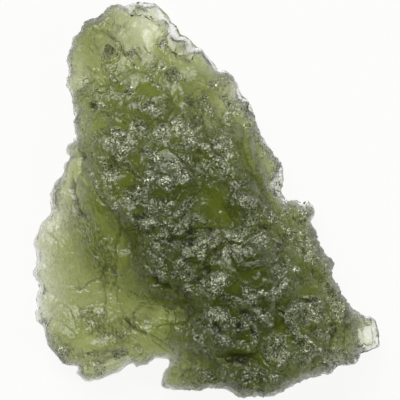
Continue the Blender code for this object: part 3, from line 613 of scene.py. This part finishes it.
def solid_and_rim():
    """The frame's solid as a search tree in metres, and its rim in order, with heights."""
    mesh = bmesh.new()
    mesh.from_mesh(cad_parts[STONE].data)
    bmesh.ops.remove_doubles(mesh, verts=mesh.verts, dist=WELD * MM)
    mesh.normal_update()
    tree = BVHTree.FromBMesh(mesh)
    follows = {}
    for edge in mesh.edges:
        first, second = edge.link_faces
        if (first.normal.z > 0) != (second.normal.z > 0):
            upper = first if first.normal.z > 0 else second
            for loop in upper.loops:
                if loop.edge == edge:
                    follows[loop.vert] = loop.link_loop_next.vert
    here = start = next(iter(follows))
    ring = []
    while True:
        ring.append(here.co / MM)
        here = follows[here]
        if here == start:
            break
    mesh.free()
    return tree, np.array(ring)


def fine_rim(ring, step):
    """The rim as a smooth closed curve with a point every STEP."""
    before = np.roll(ring, 1, 0)
    after = np.roll(ring, -1, 0)
    beyond = np.roll(ring, -2, 0)
    t = np.linspace(0, 1, CURVE_PARTS + 1)[:-1, None, None]
    square = t ** 2 * (2 * before - 5 * ring + 4 * after - beyond)
    cube = t ** 3 * (3 * ring - before - 3 * after + beyond)
    curve = ring + 0.5 * (t * (after - before) + square + cube)
    curve = curve.transpose(1, 0, 2).reshape(-1, 3)
    curve = np.vstack([curve, curve[:1]])
    length = np.append(0, np.cumsum(np.linalg.norm(np.diff(curve, axis=0), axis=1)))
    at = np.arange(round(length[-1] / step)) * step
    return np.column_stack([np.interp(at, length, curve[:, k]) for k in range(3)])


def ragged(ring):
    """The rim with small notches and teeth."""
    level = np.column_stack([ring, np.zeros(len(ring))])
    moves = sum(
        depth * rolling(level, wavelength, PATTERN["ragged rim"] + depth)
        for wavelength, depth in RAGGED)
    return ring + inward_of(ring) * moves[:, None]


def lattice(step, low, high, dice):
    """A jittered triangular lattice of points over a box."""
    rows = np.arange(low[1], high[1], step * np.sqrt(3) / 2)
    columns = np.arange(low[0], high[0], step)
    points = np.array([(x + step / 2 * (k % 2), y) for k, y in enumerate(rows) for x in columns])
    return points + dice.uniform(-JITTER, JITTER, points.shape) * step


def rings_inside(ring, offsets):
    """The rim's points moved inward by each offset, where that keeps clear of other parts."""
    kept = []
    for offset in offsets:
        moved = ring + inward_of(ring) * offset
        moved = moved[inside(moved, ring)]
        kept.append(moved[from_rim(moved, ring)[0] > RING_KEPT * offset])
    return np.vstack(kept)


def triangles(ring, inner):
    """Triangulates the ring's inside through the inner points."""
    points = [Vector(point) for point in np.vstack([ring, inner])]
    edges = [(k, (k + 1) % len(ring)) for k in range(len(ring))]
    found = geometry.delaunay_2d_cdt(points, edges, [list(range(len(ring)))], 1, 1e-6)
    return np.array(found[2])


def drape(tree, points, from_above):
    """Height of the solid's top or back at each point, or at the nearest point beside it."""
    way = Vector((0, 0, -1 if from_above else 1))
    start = -way.z * RAY_START * MM
    heights = []
    for x, y in points:
        hit = tree.ray_cast(Vector((x * MM, y * MM, start)), way)[0]
        if hit is None:
            hit = tree.find_nearest(Vector((x * MM, y * MM, 0)))[0]
        heights.append(hit.z / MM)
    return np.array(heights)


def skin():
    """Points and faces of the fine mesh over the solid, how many of the points are the rim and
    the top, each point's distance from the rim and the height of the back there."""
    dice = np.random.default_rng(SEED)
    tree, coarse = solid_and_rim()
    ring = ragged(fine_rim(coarse, RIM_STEP)[:, :2])
    low, high = ring.min(0), ring.max(0)
    clear = RIM_RINGS[-1] + RING_GAP
    sheets = []
    for step, offsets in ((TOP_STEP, RIM_RINGS), (BACK_STEP, RIM_RINGS[:1])):
        field = lattice(step, low, high, dice)
        field = field[inside(field, ring)]
        field = field[from_rim(field, ring)[0] > clear]
        sheets.append(np.vstack([rings_inside(ring, offsets), field]))
    top, rear = sheets
    top_faces = triangles(ring, top)
    rear_faces = triangles(ring, rear)[:, ::-1]
    rear_faces = np.where(rear_faces < len(ring), rear_faces, rear_faces + len(top))
    plan = np.vstack([ring, top, rear])
    distance, tucked = from_rim(plan, ring, RIM_WIDTH)
    floor = drape(tree, tucked, False)
    height = floor.copy()
    edge = 1 - (1 - np.minimum(distance / RIM_WIDTH, 1)) ** RIM_CURVE
    upper = slice(len(ring), len(ring) + len(top))
    height[upper] += (drape(tree, tucked[upper], True) - height[upper]) * edge[upper]
    points = np.column_stack([plan, height])
    return points, np.vstack([top_faces, rear_faces]), len(ring), len(top), distance, floor


def edges_of(faces):
    """Each edge of the faces once."""
    pairs = np.vstack([faces[:, [0, 1]], faces[:, [1, 2]], faces[:, [2, 0]]])
    pairs.sort(axis=1)
    return np.unique(pairs, axis=0)


def smooth(points, edges, rounds, moving):
    """Evens out the heights of the MOVING points over their neighbours."""
    count = np.bincount(edges.ravel(), minlength=len(points))
    height = points[:, 2].copy()
    for _ in range(rounds):
        total = np.bincount(edges[:, 0], height[edges[:, 1]], len(points))
        total += np.bincount(edges[:, 1], height[edges[:, 0]], len(points))
        mean = total / count
        height[moving] = ((1 - SMOOTHING) * height + SMOOTHING * mean)[moving]
    return np.column_stack([points[:, :2], height])


def normals(points, faces):
    """Each point's normal, from the faces round it."""
    a, b, c = (points[faces[:, k]] for k in range(3))
    across = np.cross(b - a, c - a)
    total = np.zeros_like(points)
    for k in range(3):
        for axis in range(3):
            total[:, axis] += np.bincount(faces[:, k], across[:, axis], len(points))
    return total / np.linalg.norm(total, axis=1)[:, None]


def flat(points):
    """The points at height 0, for a pattern that is the same down a wall."""
    return points * (1, 1, 0)


def rolling(points, wavelength, layer):
    """Smooth noise from about -1 to 1; each LAYER is a pattern of its own."""
    scale = NOISE_CELLS / wavelength
    return np.array([noise.noise(Vector(p) * scale + Vector((0, 0, layer))) for p in points])


def warped(points):
    """The points, moved about by smooth noise."""
    for k, (amount, wavelength) in enumerate(WARPS):
        moves = [rolling(points, wavelength, PATTERN["warp"] + 4 * k + axis) for axis in range(2)]
        points = points + amount * np.column_stack([*moves, np.zeros(len(points))])
    return points


def pitted(points, width, layer):
    """Round pits about WIDTH apart: 0 on the lips between them, 1 on their floors."""
    shift = Vector((layer, 0, 0))
    nearest = np.array([noise.voronoi(Vector(p) / width + shift)[0][0] for p in points])
    return fade(PIT_WALL, nearest)


def creases(points):
    """1 along the network of creases between lumps."""
    shift = Vector((0, PATTERN["creases"], 0))
    found = [noise.voronoi(Vector(p) / CREASE_WIDTH + shift)[0] for p in points]
    return fade(CREASE_EDGE, np.array([d[1] - d[0] for d in found]))


def terraces(points, width, layer):
    """Slopes from 0 to 1 that end in small cliffs, along the contours of smooth noise."""
    level = TERRACE_COUNT * rolling(points, width, layer)
    return level - np.floor(level)


def streaks(points, angle):
    """Flow lines, long and close together, that run at ANGLE."""
    turn = np.radians(angle)
    along = points[:, 0] * np.cos(turn) + points[:, 1] * np.sin(turn)
    across = points[:, 1] * np.cos(turn) - points[:, 0] * np.sin(turn)
    drawn = np.column_stack([along / FLOW_STRETCH, across, np.zeros(len(points))])
    return sum(
        share * rolling(drawn, width, PATTERN["streaks"] + 6 * k)
        for k, (width, share) in enumerate(FLOW_LINES))


def on_body(points):
    """1 on the thick body, 0 on the thin flange."""
    distance, side = beside_path(points, WEST_FOOT)
    return smoothstep(*FOOT_REACH, distance * side)


def windowed(points):
    """1 in the middle of a smooth window."""
    rag = WINDOW_RAG * rolling(flat(points), WINDOW_RAG_WIDTH, PATTERN["window edge"])
    distances = [oval(points, *window, WINDOW_POWER) + rag for window in WINDOWS]
    return np.max([fade(WINDOW_FADE, distance) for distance in distances], axis=0)


def frosted(points):
    """How frosted the skin is: 1 in the middle of a patch or a rib."""
    patches = [oval(points, x, y, radius, radius, 0) for x, y, radius, _ in FROSTED]
    ribs = [off_path(points, half_width, path) for half_width, _, path in FROSTED_RIBS]
    frost = [fade(PATCH_FADE, distance) for distance in patches]
    frost += [fade(RIB_FADE, distance) for distance in ribs]
    return np.max(frost, axis=0)


def rippled(points):
    """How rippled the skin is: 1 in the middle of a strong band."""
    return np.max([
        strength * fade(RIPPLED_FADE, off_path(points, half_width, path))
        for half_width, strength, path in RIPPLED], axis=0)


def chipped(points):
    """1 in the thin chips."""
    return np.max([fade(CHIP_FADE, oval(points, *place)) for *place, _ in CHIPS], axis=0)


def etched(points, from_edge):
    """How etched the skin is: 0 in the smooth windows, 1 in the frosted patches."""
    body = on_body(points)
    upper = smoothstep(*UPPER_END, points[:, 1])
    right = RIGHT_CALM * smoothstep(*RIGHT_SIDE, points[:, 0])
    right *= smoothstep(*RIGHT_SIDE_FOOT, points[:, 1])
    calm = np.maximum(upper, right)
    varied = ETCH_VARIES * rolling(flat(points), ETCH_PATCH, PATTERN["etch"])
    etch = FLANGE_ETCH - FLANGE_CALM * calm
    etch += BODY_ETCH * body * (1 - BODY_CALM * calm)
    etch += varied * body * (1 - PATCH_CALM * calm)
    margin = (MARGIN_ETCH - MARGIN_CALM * upper) * body * fade(MARGIN_WIDTH, from_edge)
    etch = np.maximum(etch, margin)
    etch = np.maximum(etch, BAND_ETCH * fade(BAND_WIDTH, beside_path(points, ROUGH_BAND)[0]))
    etch = np.maximum(etch, RIPPLED_ETCH * rippled(points))
    etch *= (1 - windowed(points)) * (1 - chipped(points))
    return np.clip(np.maximum(etch, frosted(points)), 0, 1)


def placed_relief(points):
    """How far the forms that are listed above stand proud of the top."""
    height = np.zeros(len(points))
    for x, y, radius, rise in FROSTED:
        height += rise * fade(PATCH_SLOPE, oval(points, x, y, radius, radius, 0))
    for half_width, rise, path in FROSTED_RIBS:
        height += rise * np.exp(-off_path(points, half_width, path) ** 2)
    for *place, depth in HOLLOWS:
        height -= depth * fade(HOLLOW_SLOPE, oval(points, *place))
    for *place, rise in SWELLS:
        height += rise * np.exp(-oval(points, *place) ** 2)
    for *place, depth in CHIPS:
        height -= depth * fade(CHIP_SLOPE, oval(points, *place))
    for depth, half_width, path in CRACKS:
        height -= depth * np.exp(-off_path(points, half_width, path) ** 2)
    for rise, reach, path in LEDGES:
        distance, side = beside_path(points, path)
        height += rise * side * np.exp(-distance / reach) * fade(LEDGE_SLOPE, distance / reach)
    return height


def top_relief(points, etch):
    """How far the fine relief of the top stands proud."""
    height = placed_relief(points)
    folds = rolling(flat(points), FOLD_WIDTH, PATTERN["folds"])
    height += FOLD_HEIGHT * blend(LOWER_FOLDS, smoothstep(*FOLDS_GROW, points[:, 1])) * folds
    lively = (1 - WINDOW_CALM * windowed(points)) * blend(FLANGE_RELIEF, on_body(points))
    for k, size in enumerate(TERRACE_SIZES):
        steps = terraces(points, size * TERRACE_WIDTH, PATTERN["terraces"] + 2 * k)
        height += size * TERRACE_DEPTH * lively * steps
    height -= CREASE_DEPTH * smoothstep(*CREASED_ETCH, etch) * creases(points)
    for k, (width, depth) in enumerate(PITS):
        height -= depth * etch * pitted(points, width, PATTERN["pits"] + 7 * k)
    height += SAND_DEPTH * etch * rolling(points, SAND_WIDTH, PATTERN["sand"])
    south = fade(FLOW_TURNS, points[:, 1])
    flow = streaks(points, FLOW_ANGLES[0]) * (1 - south) + streaks(points, FLOW_ANGLES[1]) * south
    return height + FLOW_DEPTH * (1 - FLOW_LOST * etch) * lively * flow


def back_relief(points, etch):
    """How far the fine relief of the back stands proud: never, because it lies on the table."""
    height = np.zeros(len(points))
    for k, (width, depth) in enumerate(BACK_PITS):
        pits = pitted(points, width, PATTERN["back pits"] + 7 * k)
        height -= depth * blend(SMOOTH_BACK, etch) * pits
    return height


def painted_shade(points):
    """How deep a point lies in a hollow or a crack, from 0 to 1, for the painted shade there."""
    dark = [fade(HOLLOW_FADE, oval(points, *place)) for *place, _ in HOLLOWS]
    dark += [
        fade(CRACK_FADE, off_path(points, half_width, path)) * min(depth / FULL_DEPTH, 1)
        for depth, half_width, path in CRACKS]
    return np.max(dark, axis=0)


def rim_shadow(points, from_edge):
    """Painted shadow in patches along the thick body's lower rim, from 0 to 1."""
    shadow_patches = rolling(flat(points), SHADOW_WIDTH, PATTERN["rim shadow"])
    shadow = fade(SHADOW_REACH, from_edge) * smoothstep(*SHADOW_NOISE, shadow_patches)
    return shadow * fade(SHADOW_NORTH, points[:, 1]) * smoothstep(*SHADOW_WEST, points[:, 0])


def dips(points, edges, upper, floor):
    """How deep a point of the top lies in a dip of the fine relief, from 0 to 1, for painted shade,
    away from the thin glass, where a dip lets more light through."""
    evened = smooth(points, edges, DIP_ROUNDS, upper)[:, 2]
    deep = np.clip((evened - points[:, 2]) / DIP_DEPTH, 0, 1)
    return deep * smoothstep(*THIN_GLASS, points[:, 2] - floor)


def build_stone():
    """The skin, carved, with what the glass needs to know at each point."""
    points, faces, rim_count, top_count, from_edge, floor = skin()
    seen = rim_count + top_count
    upper = slice(rim_count, seen)
    edges = edges_of(faces)
    points = smooth(points, edges, TOP_ROUNDS, upper)
    points = smooth(points, edges, BACK_ROUNDS, slice(seen, None))
    outward = normals(points, faces)
    loose = warped(points)
    etch = etched(loose, from_edge)
    proud = np.append(
        top_relief(loose[:seen], etch[:seen]), back_relief(points[seen:], etch[seen:]))
    proud[:rim_count] *= RIM_RELIEF
    points += outward * proud[:, None]
    least = LEAST_THICKNESS * np.minimum(from_edge / RIM_WIDTH, 1)
    points[upper, 2] = np.maximum(points[upper, 2], (floor + least)[upper])
    points[:, 2] = np.maximum(points[:, 2], 0)
    top = np.arange(len(points)) < seen
    # Painted shade: hollows, cracks, dips of the relief and patches along the lower rim darken the
    # glass's colour
    dark = np.maximum(painted_shade(loose), DIP_SHADE * dips(points, edges, upper, floor))
    dark = np.maximum(dark, SHADOW_SHADE * rim_shadow(points, from_edge))
    known = {
        "etch": etch,
        "frost": frosted(loose) * top,
        "painted_shade": dark * (1 - chipped(loose)) * (1 - windowed(loose)) * top,
        "ripple": rippled(loose),
        "level": smoothstep(*WALL_TURN, outward[:, 2]),
    }
    data = bpy.data.meshes.new("moldavite_skin")
    data.from_pydata((points * MM).tolist(), [], faces.tolist())
    data.shade_smooth()
    for name, values in known.items():
        held = data.attributes.new(name, "FLOAT", "POINT")
        held.data.foreach_set("value", values.astype(np.float32))
    data.materials.append(glass())
    stone = bpy.data.objects.new("moldavite_skin", data)
    bpy.context.collection.objects.link(stone)
    return stone


class Wire:
    """A shader socket that takes part in Python arithmetic by adding Math nodes."""

    def __init__(self, board, socket):
        self.board = board
        self.socket = socket

    def math(self, operation, first, second):
        return self.board.node("ShaderNodeMath", {"operation": operation}, {0: first, 1: second})

    def __add__(self, other):
        return self.math("ADD", self, other)

    def __sub__(self, other):
        return self.math("SUBTRACT", self, other)

    def __rsub__(self, other):
        return self.math("SUBTRACT", other, self)

    def __mul__(self, other):
        return self.math("MULTIPLY", self, other)

    __radd__ = __add__
    __rmul__ = __mul__

    def clip(self):
        """Kept between 0 and 1."""
        return self.board.node("ShaderNodeClamp", {}, {"Value": self})

    def step(self, low, high):
        """0 below LOW, 1 above HIGH, and smooth between."""
        reach = {"Value": self, "From Min": low, "From Max": high}
        return self.board.node("ShaderNodeMapRange", {"interpolation_type": "SMOOTHSTEP"}, reach)


class Board:
    """The nodes of a material or of the world."""

    def __init__(self, owner):
        owner.use_nodes = True
        self.tree = owner.node_tree
        self.tree.nodes.clear()

    def node(self, kind, settings=None, inputs=None, output=0):
        """Adds a node: its settings first, then its sockets' values or links."""
        node = self.tree.nodes.new(kind)
        for name, value in (settings or {}).items():
            setattr(node, name, value)
        for name, value in (inputs or {}).items():
            if isinstance(value, Wire):
                self.tree.links.new(value.socket, node.inputs[name])
            else:
                node.inputs[name].default_value = value
        return Wire(self, node.outputs[output]) if len(node.outputs) else None

    def known(self, name):
        """What the mesh holds at each point under this name."""
        return self.node("ShaderNodeAttribute", {"attribute_name": name}, {}, "Fac")

    def vector(self, operation, inputs, output=0):
        return self.node("ShaderNodeVectorMath", {"operation": operation}, inputs, output)

    def noise(self, where, scale, detail=1.0):
        inputs = {"Vector": where, "Scale": scale, "Detail": detail}
        return self.node("ShaderNodeTexNoise", {}, inputs)

    def cells(self, where, scale, output=0):
        inputs = {"Vector": where, "Scale": scale}
        return self.node("ShaderNodeTexVoronoi", {"feature": "F1"}, inputs, output)


def etched_normal(board, where, upright, etch, frosting):
    """Fine bumps and pits, and grains that each face a way of their own."""
    grain = board.noise(where, BUMP_SCALE)
    pits = board.cells(where, PIT_SCALE)
    height = grain * BUMP_RISE + pits * pits * BUMP_RISE
    height = height * (etch * (1 - SMOOTH_BUMP) + SMOOTH_BUMP)
    inputs = {"Height": height, "Distance": BUMP_DEPTH * MM, "Strength": 1.0}
    bump = board.node("ShaderNodeBump", {}, inputs)
    facets = board.cells(upright, 1 / GRAIN_WIDTH, "Color")
    tilt = board.vector("SUBTRACT", {0: facets, 1: (0.5, 0.5, 0.5)})
    tilt = board.vector("SCALE", {0: tilt, "Scale": frosting * GRAIN_TILT})
    return board.vector("NORMALIZE", {0: board.vector("ADD", {0: bump, 1: tilt})})


def rippled_shade(board, where, etch):
    """How dark the fine ripples are."""
    flow = board.node("ShaderNodeMapping", {"vector_type": "TEXTURE"}, {
        "Vector": where,
        "Rotation": (0.0, 0.0, np.radians(RIPPLE_ANGLE)),
        "Scale": (RIPPLE_LENGTH, 1.0, 1.0),
    })
    everywhere = etch.step(*RIPPLE_STARTS) * (1 - etch * ETCH_HIDES) * RIPPLE_SHADE
    ripples = board.noise(flow, RIPPLE_SCALE).step(*RIPPLE_EDGE)
    return ripples * (everywhere + board.known("ripple") * RIPPLED_SHADE)


def glass():
    """Green glass: clear where it is smooth, matt and dusted with frost where it is etched."""
    material = bpy.data.materials.new("etched_green_glass")
    board = Board(material)
    place = board.node("ShaderNodeTexCoord", {}, {}, "Object")
    where = board.vector("SCALE", {0: place, "Scale": 1 / MM})
    upright = board.vector("MULTIPLY", {0: where, 1: (1.0, 1.0, GRAIN_SQUEEZE)})
    etch = board.known("etch")
    frost = board.known("frost")
    dark = board.known("painted_shade")

    patches = board.noise(where, GROUND_SCALE, detail=2.0).step(*GROUND_EDGE)
    frosting = etch * (patches * GROUND_IN_PATCHES + GROUND_BETWEEN)
    frosting = (frost * GROUND_IN_FROST + frosting).clip()
    ground = frosting.step(*GROUND_BEGINS)
    normal = etched_normal(board, where, upright, etch, frosting)

    grit = board.noise(upright, 1 / GRAIN_WIDTH)
    ridges = board.noise(where, RIDGE_SCALE).step(*RIDGE_EDGE)
    specks = grit.step(*SPECK_EDGE) * (ridges * RIDGE_SPECKS + (1 - RIDGE_SPECKS))
    # Painted shade in the gaps between grains and in the valleys between ridges
    gaps = etch.step(*GAPPED_ETCH) * GAP_SHADE + ground * GROUND_GAP_SHADE
    gaps = (1 - grit.step(*GAP_EDGE)) * gaps
    gaps = (gaps + (1 - ridges) * ground * VALLEY_SHADE).clip()
    # The glass's colour takes the painted shade of gaps, valleys, hollows, cracks, dips and rim
    # patches, and darkens in the fine ripples
    shade = (1 - gaps) * (1 - dark * HOLLOW_SHADE) * (1 - rippled_shade(board, where, etch))
    grey = board.node("ShaderNodeCombineColor", {}, {"Red": shade, "Green": shade, "Blue": shade})
    clear = board.node("ShaderNodeBsdfPrincipled", {}, {
        "Base Color": grey,
        "Roughness": ground * (ETCHED_ROUGHNESS - CLEAR_ROUGHNESS) + CLEAR_ROUGHNESS,
        "IOR": GLASS_IOR,
        "Transmission Weight": 1.0,
        "Normal": normal,
    })
    bloom = board.node("ShaderNodeBsdfPrincipled", {}, {
        "Base Color": FROST_COLOUR,
        "Roughness": FROST_ROUGHNESS,
        "Normal": normal,
    })

    on_patches = frost * (specks * FROST_SPECKS + (1 - FROST_SPECKS)) * FROST_SHARE
    share = ((ground * specks * SKIN_SHARE + on_patches) * (1 - dark)).clip()
    share = share * (board.known("level") * (1 - WALL_FROST) + WALL_FROST)
    shader = board.node("ShaderNodeMixShader", {}, {0: share, 1: clear, 2: bloom})
    inputs = {"Color": GLASS_TINT, "Density": GLASS_DENSITY}
    depth = board.node("ShaderNodeVolumeAbsorption", {}, inputs)
    board.node("ShaderNodeOutputMaterial", {}, {"Surface": shader, "Volume": depth})
    return material


def glowing_paper():
    """Pale paper that glows evenly."""
    material = bpy.data.materials.new("light_table")
    board = Board(material)
    shader = board.node("ShaderNodeBsdfPrincipled", {}, {
        "Base Color": TABLE_COLOUR,
        "Roughness": TABLE_ROUGHNESS,
        "Specular IOR Level": 0.0,
        "Emission Color": GLOW_COLOUR,
        "Emission Strength": TABLE_GLOW,
    })
    board.node("ShaderNodeOutputMaterial", {}, {"Surface": shader})
    return material


def build_table():
    """The light table that the stone lies on."""
    half = TABLE_HALF
    level = -TABLE_GAP * MM
    corners = [(-half, -half), (half, -half), (half, half), (-half, half)]
    data = bpy.data.meshes.new("floor")
    data.from_pydata([(x, y, level) for x, y in corners], [], [(0, 1, 2, 3)])
    data.materials.append(glowing_paper())
    table = bpy.data.objects.new("floor", data)
    bpy.context.collection.objects.link(table)


def toward(azimuth, elevation):
    """The way to something seen at these angles, in degrees."""
    turn, rise = np.radians(azimuth), np.radians(elevation)
    return Vector((np.cos(turn) * np.cos(rise), np.sin(turn) * np.cos(rise), np.sin(rise)))


def build_lamps():
    """Square soft lamps that face the stone."""
    for name, azimuth, elevation, width, power in LAMPS:
        lamp = bpy.data.lights.new(name, "AREA")
        lamp.shape = "SQUARE"
        lamp.size = width
        lamp.energy = power
        item = bpy.data.objects.new(name, lamp)
        away = toward(azimuth, elevation)
        item.location = away * LAMP_DISTANCE
        item.rotation_euler = away.to_track_quat("Z", "Y").to_euler()
        bpy.context.collection.objects.link(item)


def build_room():
    """The room round the table, which shows as soft reflections."""
    world = bpy.data.worlds.new("studio")
    board = Board(world)
    way = board.node("ShaderNodeTexCoord", {}, {}, "Generated")
    rise = board.node("ShaderNodeSeparateXYZ", {}, {"Vector": way}, "Z")
    light = (1 - rise.step(*WALL_FADE)) * (WALL_LIGHT - CEILING_LIGHT) + CEILING_LIGHT
    window = board.vector("DOT_PRODUCT", {0: way, 1: toward(*SKYLIGHT_WAY)}, 1)
    near, far = np.cos(np.radians(SKYLIGHT_FADE))
    light = light + window.step(far, near) * SKYLIGHT
    walls = board.node("ShaderNodeBackground", {}, {"Color": (1, 1, 1, 1), "Strength": light})
    board.node("ShaderNodeOutputWorld", {}, {"Surface": walls})
    bpy.context.scene.world = world
    bpy.context.scene.view_settings.view_transform = "Standard"


def build_camera():
    """The camera, straight above the stone."""
    camera = bpy.data.objects.new("camera", bpy.data.cameras.new("camera"))
    camera.data.sensor_width = SENSOR
    camera.data.lens = SENSOR * CAMERA_HEIGHT / FRAME_WIDTH
    camera.data.clip_end = FARTHEST_METRES
    level = CAMERA_HEIGHT + FRAME_LEVEL
    camera.location = (FRAME_CENTRE[0] * MM, FRAME_CENTRE[1] * MM, level * MM)
    bpy.context.collection.objects.link(camera)
    bpy.context.scene.camera = camera


stone = build_stone()
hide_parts(STONE)
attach(stone, "root")
build_table()
build_lamps()
build_room()
build_camera()
